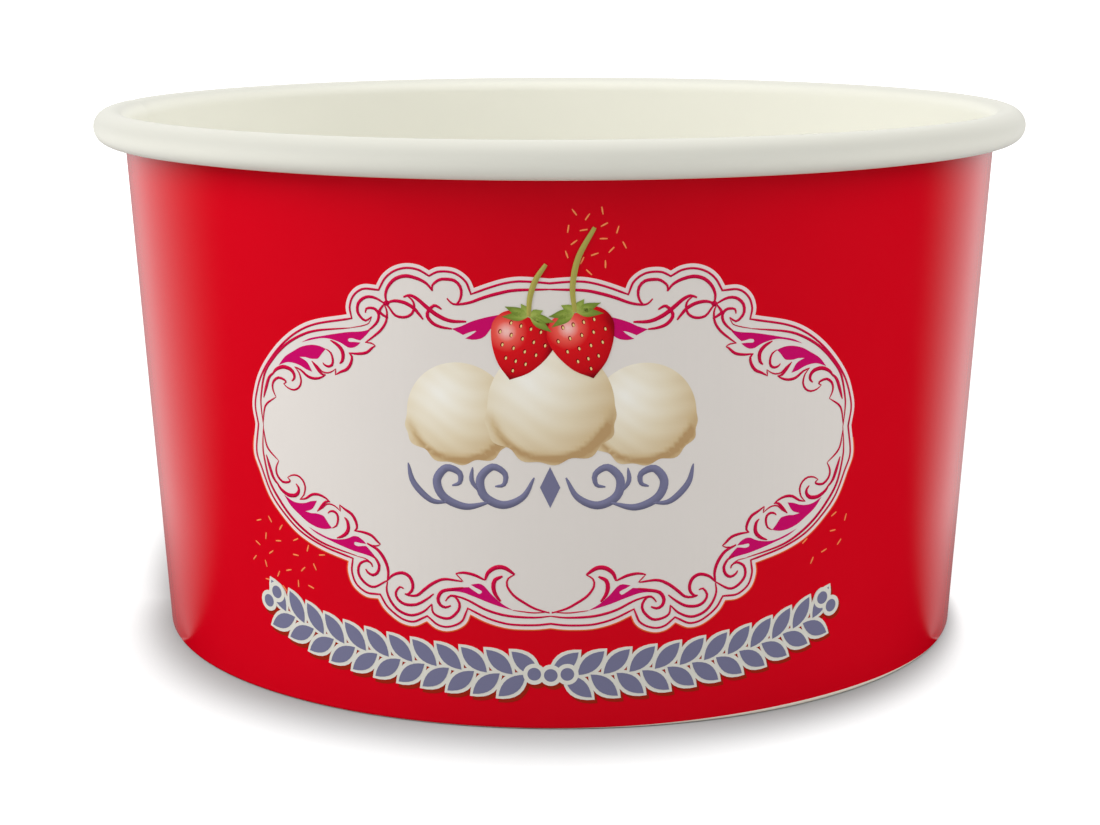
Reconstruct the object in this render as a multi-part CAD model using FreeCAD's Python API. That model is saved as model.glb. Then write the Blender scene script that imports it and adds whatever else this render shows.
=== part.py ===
import FreeCAD
import Part
import math
import os

# Paper dessert cup. A squat round tub of coated board, made from two blanks.
# The sidewall is wrapped into a cone, lapped and sealed down its side, rolled
# outwards into a rim at the top and folded inwards into a hem at the foot.
# The base is a flat disc with a short skirt, which the hem grips.
# Millimetres. +Z is up, and the origin is the centre of the foot on the table.

# Overall sizes
rim_outer_d = 96.0    # across the rolled rim
cup_height = 54.0     # table to the top of the rolled rim
foot_outer_d = 84.0   # across the foot, where the wall's outer face meets the table

# Sidewall board and its rolled rim
board_t = 0.42        # thickness of the sidewall board
roll_d = 3.45         # outside of the rolled rim's round section
roll_gap = 0.06       # air between the wall and the board's cut end, under the roll
roll_end_angle = 30.0  # how far short of a full turn the cut end meets the wall, degrees

# Base disc
base_board_t = 0.34   # thickness of the base board
base_height = 6.0     # table to the underside of the flat disc
base_bend_r = 0.62    # outside radius of the bend from disc to skirt
skirt_clear = 0.20    # room left under the skirt's lower edge
bond_gap = 0.03       # seal line on each side of the skirt

# Hem, the fold that holds the base
hem_height = 4.7      # table to the hem's upper edge
fold_r = 0.38         # outside radius of the fold's two corners

# Side seam
seam_angle = 183.0    # where the outer layer shows its cut edge, from +X towards +Y
lap_width = 7.0       # width over which the two ends of the blank lie on each other
joggle_width = 3.2    # width over which the wall steps out by one board to clear the lap
lap_sink = 0.10       # depth to which the outer layer's solid is let into the inner one

# Round stretches are drawn as short straight runs, which keeps the facets few
run_angle = 30.0      # turn from one run of the roll to the next, degrees
corner_steps = 2      # runs to a folded corner


# Values that follow from the sizes above
turn_r = (roll_d - board_t) / 2               # middle of the board in the roll
roll_centre = (rim_outer_d / 2 - roll_d / 2, cup_height - roll_d / 2)
room_r = turn_r - board_t / 2                 # from the roll's middle to the wall
end_cos = math.cos(math.radians(roll_end_angle))
tighter = (roll_d / 2 * end_cos - room_r + roll_gap) / (1 + end_cos)  # second half turn

foot_r = foot_outer_d / 2
taper = math.atan2(roll_centre[0] - room_r - foot_r, roll_centre[1])

skirt_outer = board_t + bond_gap              # depths below the wall's outer face
skirt_inner = skirt_outer + base_board_t
hem_outer = skirt_inner + bond_gap
hem_inner = hem_outer + board_t


def wall_point(depth, height):
    """Section point at a depth below the wall's outer face and a height."""
    return (foot_r + height * math.tan(taper) - depth / math.cos(taper), height)


def turn(centre, radius, start, end):
    """Section points of a round stretch, angles in degrees from outwards towards up."""
    steps = max(2, round(abs(end - start) / run_angle))
    points = []
    for i in range(steps + 1):
        a = math.radians(start + (end - start) * i / steps)
        points.append((centre[0] + radius * math.cos(a), centre[1] + radius * math.sin(a)))
    return points


def rounded(before, corner, after, radius):
    """Section points of a corner between two straight stretches, rounded to a radius."""
    here = FreeCAD.Vector(corner[0], 0, corner[1])
    back = (FreeCAD.Vector(before[0], 0, before[1]) - here).normalize()
    ahead = (FreeCAD.Vector(after[0], 0, after[1]) - here).normalize()
    half_angle = back.getAngle(ahead) / 2
    centre = here + (back + ahead).normalize() * (radius / math.sin(half_angle))
    first = here + back * (radius / math.tan(half_angle)) - centre
    last = here + ahead * (radius / math.tan(half_angle)) - centre
    points = []
    for i in range(corner_steps + 1):
        share = i / corner_steps
        sweep = math.pi - 2 * half_angle
        spoke = first * math.sin((1 - share) * sweep) + last * math.sin(share * sweep)
        spoke = centre + spoke * (1 / math.sin(sweep))
        points.append((spoke.x, spoke.z))
    return points


def revolve(outline):
    """Solid of revolution of a closed section outline round the cup's axis."""
    points = [FreeCAD.Vector(r, 0, z) for r, z in outline]
    face = Part.Face(Part.makePolygon(points + points[:1]))
    return face.revolve(FreeCAD.Vector(0, 0, 0), FreeCAD.Vector(0, 0, 1), 360)


def roll_face(offset):
    """One face of the board through the whole roll, from the wall to the cut end."""
    second_centre = (roll_centre[0] + tighter, roll_centre[1])
    over = turn(roll_centre, turn_r + offset, 180, 0)
    under = turn(second_centre, turn_r - tighter + offset, 0, roll_end_angle - 180)
    return over + under[1:]


def fold_outline():
    """The foot, from the wall's inner face round the hem to the wall's outer face."""
    wall_in = wall_point(board_t, board_t)
    hem_foot_out = wall_point(hem_outer, board_t)
    hem_top_out = wall_point(hem_outer, hem_height)
    hem_top_in = wall_point(hem_inner, hem_height)
    fold_in = wall_point(hem_inner, 0)
    fold_out = wall_point(0, 0)
    inner_corner = rounded(hem_top_in, fold_in, fold_out, fold_r)
    outer_corner = rounded(fold_in, fold_out, wall_point(0, cup_height), fold_r)
    return [wall_in, hem_foot_out, hem_top_out, hem_top_in] + inner_corner + outer_corner


def across(radius, degrees, height):
    """Point at a radius and an angle round the cup's axis."""
    a = math.radians(degrees)
    return FreeCAD.Vector(radius * math.cos(a), radius * math.sin(a), height)


def lap_angles():
    """Angles of the cut edge outside, the cut edge inside and the end of the joggle."""
    inside_edge = seam_angle - math.degrees(lap_width / foot_r)
    joggle_end = inside_edge - math.degrees(joggle_width / foot_r)
    return seam_angle, inside_edge, joggle_end


def outer_lap():
    """The outer layer of the seam, one board proud, and the outside of its joggle."""
    start, flat_end, joggle_end = lap_angles()
    wires = []
    for height in (fold_r, cup_height - roll_d):
        face_r = wall_point(0, height)[0]
        low_r, high_r = face_r - lap_sink, face_r + board_t
        corners = [
            across(low_r, start, height),
            across(high_r, start, height),
            across(high_r, flat_end, height),
            across(face_r, joggle_end, height),
            across(low_r, joggle_end, height),
        ]
        middle = (start + flat_end) / 2
        low_middle = (start + joggle_end) / 2
        edges = [
            Part.LineSegment(corners[0], corners[1]),
            Part.Arc(corners[1], across(high_r, middle, height), corners[2]),
            Part.LineSegment(corners[2], corners[3]),
            Part.LineSegment(corners[3], corners[4]),
            Part.Arc(corners[4], across(low_r, low_middle, height), corners[0]),
        ]
        wires.append(Part.Wire([edge.toShape() for edge in edges]))
    return Part.makeLoft(wires, True, True)


def joggle_hollow():
    """What the joggle leaves open inside the cup, beside the inner layer's cut edge."""
    _, start, end = lap_angles()
    wires = []
    for height in (base_height + base_board_t, cup_height - roll_d):
        inner_r = wall_point(board_t, height)[0]
        corners = [
            across(inner_r - board_t, start, height),
            across(inner_r + board_t, start, height),
            across(inner_r, end, height),
            across(inner_r - board_t, end, height),
        ]
        wires.append(Part.makePolygon(corners + corners[:1]))
    return Part.makeLoft(wires, True, True)


def make_sidewall():
    """The wrapped, lapped, rolled and hemmed sidewall blank."""
    inside_of_roll = roll_face(-board_t / 2)
    outside_of_roll = roll_face(board_t / 2)
    wall = revolve(fold_outline() + inside_of_roll + outside_of_roll[::-1])
    return wall.fuse(outer_lap()).cut(joggle_hollow())


def make_base_disc():
    """The base blank: a flat disc whose edge is turned down into a skirt."""
    top = base_height + base_board_t
    foot = board_t + skirt_clear
    inner_bend_r = base_bend_r - base_board_t
    middle_low, middle_high = (0, base_height), (0, top)
    foot_in, foot_out = wall_point(skirt_inner, foot), wall_point(skirt_outer, foot)
    edge_in, edge_out = wall_point(skirt_inner, base_height), wall_point(skirt_outer, top)
    return revolve(
        [middle_low]
        + rounded(middle_low, edge_in, foot_in, inner_bend_r)
        + [foot_in, foot_out]
        + rounded(foot_out, edge_out, middle_high, base_bend_r)
        + [middle_high]
    )


parts = {
    "sidewall": make_sidewall(),
    "base_disc": make_base_disc(),
}

os.makedirs("parts", exist_ok=True)
for name, shape in parts.items():
    shape = shape.Solids[0]
    shape.exportStep(os.path.join("parts", name + ".step"))
    print(
        name, "valid", shape.isValid(), "faces", len(shape.Faces),
        "volume", round(shape.Volume, 1), "mm3",
    )
print("wall taper", round(math.degrees(taper), 2), "degrees")
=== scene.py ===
# %% [markdown]
# # A printed paper dessert cup
# The cup is two pieces of coated board: a sidewall that is wrapped into a cone and rolled
# into a rim, and a base disc that the folded foot holds. The printer prints the sidewall
# while it is still a flat fan, so this scene draws the print flat as well and then bends
# it round the cone. One unit is a metre, and the helper value `mm` keeps sizes readable.

import math

import bpy
from mathutils import Matrix, Vector
from mathutils.geometry import delaunay_2d_cdt


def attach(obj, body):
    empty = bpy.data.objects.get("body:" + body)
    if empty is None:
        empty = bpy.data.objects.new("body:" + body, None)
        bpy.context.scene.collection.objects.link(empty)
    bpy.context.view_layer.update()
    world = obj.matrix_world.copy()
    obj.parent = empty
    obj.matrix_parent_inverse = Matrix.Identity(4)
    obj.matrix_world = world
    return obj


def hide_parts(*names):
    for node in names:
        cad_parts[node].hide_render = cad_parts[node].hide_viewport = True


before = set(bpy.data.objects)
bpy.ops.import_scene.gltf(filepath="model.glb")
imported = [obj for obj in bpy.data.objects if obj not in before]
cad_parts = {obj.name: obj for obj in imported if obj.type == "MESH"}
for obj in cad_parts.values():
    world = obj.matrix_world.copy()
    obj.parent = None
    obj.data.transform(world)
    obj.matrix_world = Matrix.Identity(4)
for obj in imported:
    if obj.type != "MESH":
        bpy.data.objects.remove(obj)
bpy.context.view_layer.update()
mm = 0.001
print("CAD nodes:", sorted(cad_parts))

# %% [markdown]
# ## Sizes
# These are the sizes that the cup is made to, the same as in the construction. The wall
# leans outwards by a little over three degrees, and the rim is the board itself, rolled
# once round. Everything below is worked out from these.

# %% Sizes of the cup
rim_r = 48.0
cup_height = 54.0
foot_r = 42.0
board_t = 0.42
roll_d = 3.45
roll_gap = 0.06
roll_stop = math.radians(30)
base_board_t = 0.34
base_height = 6.0
base_bend_r = 0.62
hem_height = 4.7
fold_r = 0.38
seam_angle = math.radians(183)
lap_width = 7.0
joggle_width = 3.2
bond_gap = 0.03
layer_gap = 0.01
skirt_clear = 0.20

roll_x = rim_r - roll_d / 2
roll_z = cup_height - roll_d / 2
turn_r = (roll_d - board_t) / 2
inner_turn_r = turn_r - board_t / 2
stop_cos = math.cos(roll_stop)
tighter = (roll_d / 2 * stop_cos - inner_turn_r + roll_gap) / (1 + stop_cos)
taper = math.atan2(roll_x - inner_turn_r - foot_r, roll_z)
skirt_outer = board_t + bond_gap
skirt_inner = skirt_outer + base_board_t
hem_outer = skirt_inner + bond_gap
hem_inner = hem_outer + board_t
print("wall taper", round(math.degrees(taper), 2), "degrees")


# %% [markdown]
# ## Small helpers for node trees
# Every tree in this file is built with the same helpers, so that each step of a tree is
# one line. `add` makes a node and feeds it, `calc` is one step of arithmetic, `parts_of` and
# `vector` take a vector apart and put one together, `new_tree` opens a tree with named
# inputs, and `coat` and `move` give a geometry its finish and its place.

# %% Make and feed a node
def feed(tree, socket, value):
    """Links a socket to another one, or sets its value."""
    if isinstance(value, bpy.types.NodeSocket):
        tree.links.new(value, socket)
    elif value is not None:
        socket.default_value = value


def add(tree, kind, inputs=None, **settings):
    """A new node with its properties set and its inputs fed."""
    node = tree.nodes.new(kind)
    for key, value in settings.items():
        setattr(node, key, value)
    for key, value in (inputs or {}).items():
        feed(tree, node.inputs[key], value)
    return node


print("helpers: feed, add")


# %% Arithmetic in a tree
def calc(tree, operation, *values):
    """One step of arithmetic."""
    return add(tree, "ShaderNodeMath", dict(enumerate(values)), operation=operation).outputs[0]


def choose(tree, share, first, second):
    """A number that goes from the first to the second as the share goes from 0 to 1."""
    inputs = {0: share, 2: first, 3: second}
    return add(tree, "ShaderNodeMix", inputs, data_type="FLOAT").outputs[0]


def ramp(tree, value, start, end, low=0.0, high=1.0):
    """A smooth step from low to high as the value goes from start to end."""
    inputs = {0: value, 1: start, 2: end, 3: low, 4: high}
    node = add(tree, "ShaderNodeMapRange", inputs, interpolation_type="SMOOTHSTEP")
    return node.outputs[0]


def parts_of(tree, source):
    """The x, y and z of a vector."""
    return add(tree, "ShaderNodeSeparateXYZ", {0: source}).outputs


def vector(tree, x=0.0, y=0.0, z=0.0):
    """A vector from its x, y and z."""
    return add(tree, "ShaderNodeCombineXYZ", {0: x, 1: y, 2: z}).outputs[0]


def length_of(tree, x, y):
    """The length of a flat vector."""
    squares = calc(tree, "ADD", calc(tree, "MULTIPLY", x, x), calc(tree, "MULTIPLY", y, y))
    return calc(tree, "SQRT", squares)


print("helpers: calc, choose, ramp, parts_of, vector, length_of")


# %% Open a tree
def new_tree(name, kind, inputs, outputs):
    """A node tree with named sockets, each given as a name, a kind and a first value."""
    tree = bpy.data.node_groups.new(name, kind)
    for title, socket, value in inputs:
        made = tree.interface.new_socket(title, in_out="INPUT", socket_type="NodeSocket" + socket)
        if value is not None:
            made.default_value = value
    for title, socket in outputs:
        tree.interface.new_socket(title, in_out="OUTPUT", socket_type="NodeSocket" + socket)
    return tree, add(tree, "NodeGroupInput").outputs, add(tree, "NodeGroupOutput").inputs


print("helper: new_tree")


# %% Attributes, finishes and places in a tree
def named(tree, name, kind="FLOAT"):
    """A field that reads a named attribute."""
    return add(tree, "GeometryNodeInputNamedAttribute", {0: name}, data_type=kind).outputs[0]


def store(tree, geometry, name, value, kind="FLOAT", domain="POINT"):
    """Writes a named attribute on the geometry."""
    inputs = {0: geometry, "Name": name, "Value": value}
    node = add(tree, "GeometryNodeStoreNamedAttribute", inputs, data_type=kind, domain=domain)
    return node.outputs[0]


def coat(tree, geometry, finish, where=None):
    """Gives a finish to the geometry, or to a part of it."""
    return add(tree, "GeometryNodeSetMaterial", {0: geometry, 1: where, 2: finish}).outputs[0]


def move(tree, geometry, spot):
    """Moves every point of the geometry to a spot."""
    return add(tree, "GeometryNodeSetPosition", {0: geometry, "Position": spot}).outputs[0]


def position(tree):
    """A field that reads where each point is."""
    return add(tree, "GeometryNodeInputPosition").outputs[0]


def object_place(tree):
    """Where a surface point lies on the object, the same from every side."""
    return add(tree, "ShaderNodeTexCoord").outputs["Object"]


print("helpers: named, store, coat, move, position, object_place")


# %% [markdown]
# ## From a tree to a finished piece
# A modifier's inputs are set by the socket's identifier. The result is then taken as a
# plain mesh and the modifier goes, so that nothing live is left on the piece.

# %% Tidy the material slots
def drop_empty_slots(mesh):
    """Takes out the material slots that hold nothing and numbers the faces again."""
    finishes = [m for m in mesh.materials if m]
    if len(finishes) < len(mesh.materials):
        numbers = [finishes.index(mesh.materials[p.material_index]) for p in mesh.polygons]
        mesh.materials.clear()
        for finish in finishes:
            mesh.materials.append(finish)
        mesh.polygons.foreach_set("material_index", numbers)


print("helper: drop_empty_slots")


# %% Run a tree on a mesh
def grow(name, points, edges, faces, tree, values, attributes=None):
    """Puts a tree on a new mesh, sets its named inputs and keeps the plain result."""
    mesh = bpy.data.meshes.new(name + "_drawn")
    mesh.from_pydata(points, edges, faces)
    for title, numbers in (attributes or {}).items():
        mesh.attributes.new(title, "FLOAT", "POINT").data.foreach_set("value", numbers)
    drawn = bpy.data.objects.new(name + "_drawn", mesh)
    bpy.context.scene.collection.objects.link(drawn)
    modifier = drawn.modifiers.new("tree", "NODES")
    modifier.node_group = tree
    for item in tree.interface.items_tree:
        if item.in_out == "INPUT" and item.name in values:
            modifier[item.identifier] = values[item.name]
    bpy.context.view_layer.update()
    depsgraph = bpy.context.evaluated_depsgraph_get()
    plain = bpy.data.meshes.new_from_object(drawn.evaluated_get(depsgraph), depsgraph=depsgraph)
    bpy.data.objects.remove(drawn)
    plain.name = name
    drop_empty_slots(plain)
    piece = bpy.data.objects.new(name, plain)
    bpy.context.scene.collection.objects.link(piece)
    print(name, "vertices", len(plain.vertices), "faces", len(plain.polygons))
    return piece


def fit_on_cup(piece):
    """Every piece belongs to the one body of the cup."""
    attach(piece, "root")
    return piece


print("helpers: grow, fit_on_cup")

# %% [markdown]
# ## Paper fibre
# Coated board is smooth but never perfectly so: the fibres show as a faint mottle in its
# tone and as very low bumps. Both faces of the board share this effect, so it is a shader
# group with its own inputs, used with a different strength in each material.

# %% Shader group for the fibre
cloud_scale = 260.0
fibre_scale = 2600.0
fibre_share = 0.4
fibre_height = 0.02

fibre, fibre_in, fibre_out = new_tree(
    "paper_fibre",
    "ShaderNodeTree",
    [("Colour", "Color", (1, 1, 1, 1)), ("Mottle", "Float", 0.03), ("Roughness", "Float", 0.4)],
    [("Colour", "Color"), ("Roughness", "Float"), ("Height", "Float")],
)
place = object_place(fibre)
clouds = {"Vector": place, "Scale": cloud_scale, "Detail": 3.0}
fibres = {"Vector": place, "Scale": fibre_scale, "Detail": 4.0}
cloudy = add(fibre, "ShaderNodeTexNoise", clouds).outputs[0]
fine = add(fibre, "ShaderNodeTexNoise", fibres).outputs[0]
blend = choose(fibre, fibre_share, cloudy, fine)
swing = calc(fibre, "MULTIPLY", calc(fibre, "SUBTRACT", blend, 0.5), fibre_in["Mottle"])
tone = calc(fibre, "ADD", swing, 1.0)
scaled = {0: fibre_in["Colour"], "Scale": tone}
tinted = add(fibre, "ShaderNodeVectorMath", scaled, operation="SCALE")
feed(fibre, fibre_out["Colour"], tinted.outputs[0])
feed(fibre, fibre_out["Roughness"], calc(fibre, "ADD", fibre_in["Roughness"], swing))
feed(fibre, fibre_out["Height"], blend)
print("fibre group nodes:", len(fibre.nodes))


# %% [markdown]
# ## Inks and boards
# Colours are written as the eye reads them on the real cup and turned into Blender's
# linear values. Each ink is a plain material with the board's own faint fibre under it. An
# airbrushed ink runs through several tones, and a number on each point says which.

# %% Helpers for the finishes
def colour(red, green, blue):
    """A colour given as 0 to 255, in Blender's linear values."""
    linear = [(c / 255 / 12.92) if c < 10.3 else ((c / 255 + 0.055) / 1.055) ** 2.4
              for c in (red, green, blue)]
    return (*linear, 1.0)


def finish_of(name, tint, roughness=0.22, mottle=0.03, specular=0.26, bump=0.05):
    """A matt or glossy paper finish: its colour over the fibre group."""
    material = bpy.data.materials.new(name)
    material.use_nodes = True
    tree = material.node_tree
    shader = tree.nodes["Principled BSDF"]
    paper = add(tree, "ShaderNodeGroup", node_tree=fibre)
    feed(tree, paper.inputs["Colour"], tint)
    paper.inputs["Mottle"].default_value = mottle
    paper.inputs["Roughness"].default_value = roughness
    bumps = {"Height": paper.outputs["Height"], "Strength": bump, "Distance": fibre_height * mm}
    relief = add(tree, "ShaderNodeBump", bumps)
    feed(tree, shader.inputs["Base Color"], paper.outputs["Colour"])
    feed(tree, shader.inputs["Roughness"], paper.outputs["Roughness"])
    feed(tree, shader.inputs["Normal"], relief.outputs[0])
    shader.inputs["Specular IOR Level"].default_value = specular
    return material


print("helpers: colour, finish_of")


# %% Airbrushed ink
def airbrushed(name, stops):
    """An ink that runs smoothly through several tones, led by the attribute `shade`."""
    material = finish_of(name, (1, 1, 1, 1), mottle=0.02)
    tree = material.node_tree
    paper = next(n for n in tree.nodes if n.type == "GROUP")
    blend = add(tree, "ShaderNodeAttribute", attribute_name="shade").outputs["Fac"]
    tones = add(tree, "ShaderNodeValToRGB", {0: blend})
    elements = tones.color_ramp.elements
    for number, (share, tint) in enumerate(stops):
        tone = elements[number] if number < 2 else elements.new(share)
        tone.position = share
        tone.color = tint
    feed(tree, paper.inputs["Colour"], tones.outputs[0])
    return material


print("helper: airbrushed")

# %% Plain finishes
bare_board = finish_of("bare_board", colour(234, 233, 222), 0.45, mottle=0.02)
cut_board = finish_of("cut_board_edge", colour(226, 217, 200), 0.8, mottle=0.12, bump=0.4)
pale_ink = finish_of("pale_grey_ink", colour(231, 225, 219))
border_ink = finish_of("border_ink", colour(238, 222, 219))
crimson_ink = finish_of("crimson_ink", colour(206, 4, 66))
leaf_ink = finish_of("magenta_ink", colour(206, 0, 104))
slate_ink = finish_of("slate_ink", colour(120, 120, 150))
orange_ink = finish_of("orange_ink", colour(244, 104, 52))
spark_ink = finish_of("spark_ink", colour(255, 150, 90))
shade_ink = finish_of("warm_shadow_ink", colour(160, 34, 14))
print("materials:", len(bpy.data.materials))

# %% [markdown]
# The rolled rim is painted greyer than the inside of the cup, darker towards its top and
# paler towards its foot: painted shade on its top, and painted light under it, where the
# white table throws light up. Only the roll lies further out than the top of the wall, so
# the distance from the axis finds it, and the height finds its top.

# %% Roll with painted shade on its top and painted light at its foot
roll_from = 44.7
roll_to = 45.5
painted_light_from = 51.4
painted_light_to = 53.2
roll_top_tone = 0.83
roll_foot_tone = 1.08

board_tree = bare_board.node_tree
paper = next(n for n in board_tree.nodes if n.type == "GROUP")
side_x, side_y, height = parts_of(board_tree, object_place(board_tree))
from_axis = length_of(board_tree, side_x, side_y)
# painted light and shade: the roll's tone goes from paler at its foot to darker at its top
roll_painted_light = ramp(board_tree, height, painted_light_from * mm, painted_light_to * mm, roll_foot_tone, roll_top_tone)
tone = ramp(board_tree, from_axis, roll_from * mm, roll_to * mm, 1.0, roll_painted_light)
board_colour = tuple(paper.inputs["Colour"].default_value)[:3]
scaled = {0: board_colour, "Scale": tone}
roll_painted_tone = add(board_tree, "ShaderNodeVectorMath", scaled, operation="SCALE")
feed(board_tree, paper.inputs["Colour"], roll_painted_tone.outputs[0])
print("roll starts at radius", roll_from, "mm")

# %% [markdown]
# ## The red ground
# The red is printed up to a hair below the rolled rim and down to the fold at the foot.
# Presses never line up exactly with the cutting die, so a sliver of bare board shows along
# the foot, widest to the right of the front. The mask follows height and angle round the
# cup, both read from Object coordinates. The red would also tint the rim and the table by
# the light that it throws back. The photograph shows them neutral, so that light, and only
# that, meets a greyer wall.

# %% Printed board
red_top = 50.42
margin_width = 0.46
margin_least = 0.1
margin_centre = math.radians(-52)
margin_reach = math.radians(44)
neutral_share = 0.85

printed_board = finish_of("printed_board", (1, 1, 1, 1), 0.16, mottle=0.04)
ground = printed_board.node_tree
paper = next(n for n in ground.nodes if n.type == "GROUP")
side_x, side_y, level = parts_of(ground, object_place(ground))
turned = calc(ground, "ARCTAN2", side_y, side_x)
aside = calc(ground, "ABSOLUTE", calc(ground, "SUBTRACT", turned, margin_centre))
sliver = ramp(ground, aside, 0.0, margin_reach, margin_width * mm, margin_least * mm)
above = calc(ground, "GREATER_THAN", level, sliver)
below = calc(ground, "LESS_THAN", level, red_top * mm)
inked = calc(ground, "MULTIPLY", above, below)
sides = {0: inked, 6: colour(240, 230, 216), 7: colour(216, 0, 25)}
mixed = add(ground, "ShaderNodeMix", sides, data_type="RGBA")
feed(ground, paper.inputs["Colour"], mixed.outputs[2])
bounced = add(ground, "ShaderNodeLightPath").outputs["Is Diffuse Ray"]
neutral = calc(ground, "MULTIPLY", bounced, neutral_share)
sides = {0: neutral, 6: paper.outputs["Colour"], 7: colour(196, 188, 184)}
glow = add(ground, "ShaderNodeMix", sides, data_type="RGBA")
feed(ground, ground.nodes["Principled BSDF"].inputs["Base Color"], glow.outputs[2])
print("red ground from the foot to", red_top, "mm")


# %% [markdown]
# ## Section of the sidewall board
# A board piece that goes round the cup is one section swept round the axis. The section
# here has true round corners. Each point also says which face of the board it lies on, and
# which way the printed side faces, because the lapped seam needs both.

# %% Points of the section
over_steps = 26
under_steps = 20


def wall_point(depth, height):
    """Section point at a depth below the wall's outer face and a height."""
    return (foot_r + height * math.tan(taper) - depth / math.cos(taper), height)


def arc(centre, radius, start, end, steps):
    """Points of an arc, angles in radians from outwards towards up."""
    angles = [start + (end - start) * i / steps for i in range(steps + 1)]
    return [(centre[0] + radius * math.cos(a), centre[1] + radius * math.sin(a)) for a in angles]


def corner(before, at, after, radius, steps=8):
    """Points of a corner between two straight stretches, rounded to a radius."""
    here = Vector(at)
    back = (Vector(before) - here).normalized()
    ahead = (Vector(after) - here).normalized()
    half = back.angle(ahead) / 2
    centre = here + (back + ahead).normalized() * radius / math.sin(half)
    first = (here + back * radius / math.tan(half) - centre).normalized()
    last = (here + ahead * radius / math.tan(half) - centre).normalized()
    spokes = [first.slerp(last, i / steps) for i in range(steps + 1)]
    return [tuple(centre + spoke * radius) for spoke in spokes]


def straight(start, end, steps):
    """Points between two ends, without the ends themselves."""
    return [tuple(Vector(start).lerp(Vector(end), i / steps)) for i in range(1, steps)]


def roll_line(offset):
    """One face of the board through the whole roll."""
    second = (roll_x + tighter, roll_z)
    over = arc((roll_x, roll_z), turn_r + offset, math.pi, 0, over_steps)
    under = arc(second, turn_r - tighter + offset, 0, roll_stop - math.pi, under_steps)
    return over + under[1:]


print("points through the roll:", len(roll_line(0)))

# %% The two faces of the sidewall board
hem_steps = 5
wall_steps = 16
hem_top_in = wall_point(hem_inner, hem_height)
hem_top_out = wall_point(hem_outer, hem_height)
fold_in = wall_point(hem_inner, 0)
fold_out = wall_point(0, 0)
round_in = corner(hem_top_in, fold_in, fold_out, fold_r)
round_out = corner(fold_in, fold_out, wall_point(0, cup_height), fold_r)
printed_roll = roll_line(-board_t / 2)
plain_roll = roll_line(board_t / 2)[::-1]

printed_face = [hem_top_in] + straight(hem_top_in, round_in[0], hem_steps)
printed_face += round_in + round_out
printed_face += straight(round_out[-1], printed_roll[0], wall_steps) + printed_roll
wall_in = wall_point(board_t, board_t)
hem_foot_out = wall_point(hem_outer, board_t)
plain_face = plain_roll + straight(plain_roll[-1], wall_in, wall_steps)
plain_face += [wall_in, hem_foot_out]
plain_face += straight(hem_foot_out, hem_top_out, hem_steps) + [hem_top_out]
print("section points:", len(printed_face), "printed,", len(plain_face), "plain")


# %% [markdown]
# The outer layer of the seam lies on the printed side of the inner one. In the wall that
# means outwards. In the roll, the printed side is the hollow of the roll, and the press
# that rolls the rim squeezes the two layers nearly into one. At the foot the push fades
# out, so that the cup still stands flat.

# %% Which way and how far a point moves in the seam
roll_push = 0.30
push_from = 0.1
push_over = 1.6
squeeze_from = 49.6
squeeze_over = 2.4
squeeze_share = 0.7
hair = 0.01


def seam_push(point):
    """Direction towards the printed side, and the share of a board's thickness to move."""
    radius, height = point
    if height > roll_z or radius > wall_point(0, height)[0] + 2 * hair:
        away = Vector((roll_x - radius, roll_z - height)).normalized()
        return away * roll_push
    share = min(1.0, max(0.0, (height - push_from) / push_over))
    if radius < wall_point(hem_outer - hair, height)[0]:
        share = 0.0
    eased = share * share * (3 - 2 * share)
    squeeze = 1.0 - squeeze_share * min(1.0, max(0.0, (height - squeeze_from) / squeeze_over))
    return Vector((math.cos(taper), -math.sin(taper))) * eased * squeeze


print("push in the middle of the wall:", round(seam_push(wall_point(0, cup_height / 2)).length, 2))

# %% Section data
section = printed_face + plain_face
pushes = [seam_push(p) for p in section]
section_data = {
    "section_r": [p[0] * mm for p in section],
    "section_z": [p[1] * mm for p in section],
    "push_r": [p.x for p in pushes],
    "push_z": [p.y for p in pushes],
    "printed": [1.0] * len(printed_face) + [0.0] * len(plain_face),
}
print("largest push in the seam:", round(max(p.length for p in pushes), 2))

# %% [markdown]
# ## Board that goes round the axis
# One Geometry Nodes tree makes both pieces of the cup. It sweeps the section along a line
# and then moves every point to its angle, radius and height, which is exactly what the
# wrapping machine does with the blank. A point past the joggle steps out by one board, so
# the end of the blank comes to lie on its own beginning. The faces get their finish from
# the side of the board they are on.

# %% Inputs of the wrapped board
wrapped, given, wanted = new_tree(
    "wrapped_board",
    "GeometryNodeTree",
    [
        ("Geometry", "Geometry", None),
        ("Start angle", "Float", 0.0),
        ("Sweep", "Float", math.tau),
        ("Columns", "Int", 360),
        ("Ramp start", "Float", 100.0),
        ("Ramp end", "Float", 101.0),
        ("Layer step", "Float", 0.0),
        ("Close ends", "Bool", False),
        ("Plain side", "Material", None),
        ("Printed side", "Material", None),
        ("Cut edge", "Material", None),
    ],
    [("Geometry", "Geometry")],
)
print("inputs of the wrapped board:", len(given) - 1)

# %% Sweep the section
line = add(wrapped, "GeometryNodeCurvePrimitiveLine", {"End": (1, 0, 0)})
path = add(wrapped, "GeometryNodeResampleCurve", {0: line.outputs[0], "Count": given["Columns"]})
factor = add(wrapped, "GeometryNodeSplineParameter").outputs["Factor"]
angle = calc(wrapped, "MULTIPLY_ADD", factor, given["Sweep"], given["Start angle"])
turned = store(wrapped, path.outputs[0], "board_angle", angle)
profile = add(wrapped, "GeometryNodeMeshToCurve", {0: given["Geometry"]})
ends = {0: turned, 1: profile.outputs[0], "Fill Caps": given["Close ends"]}
swept = add(wrapped, "GeometryNodeCurveToMesh", ends)
print("nodes so far:", len(wrapped.nodes))

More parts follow.
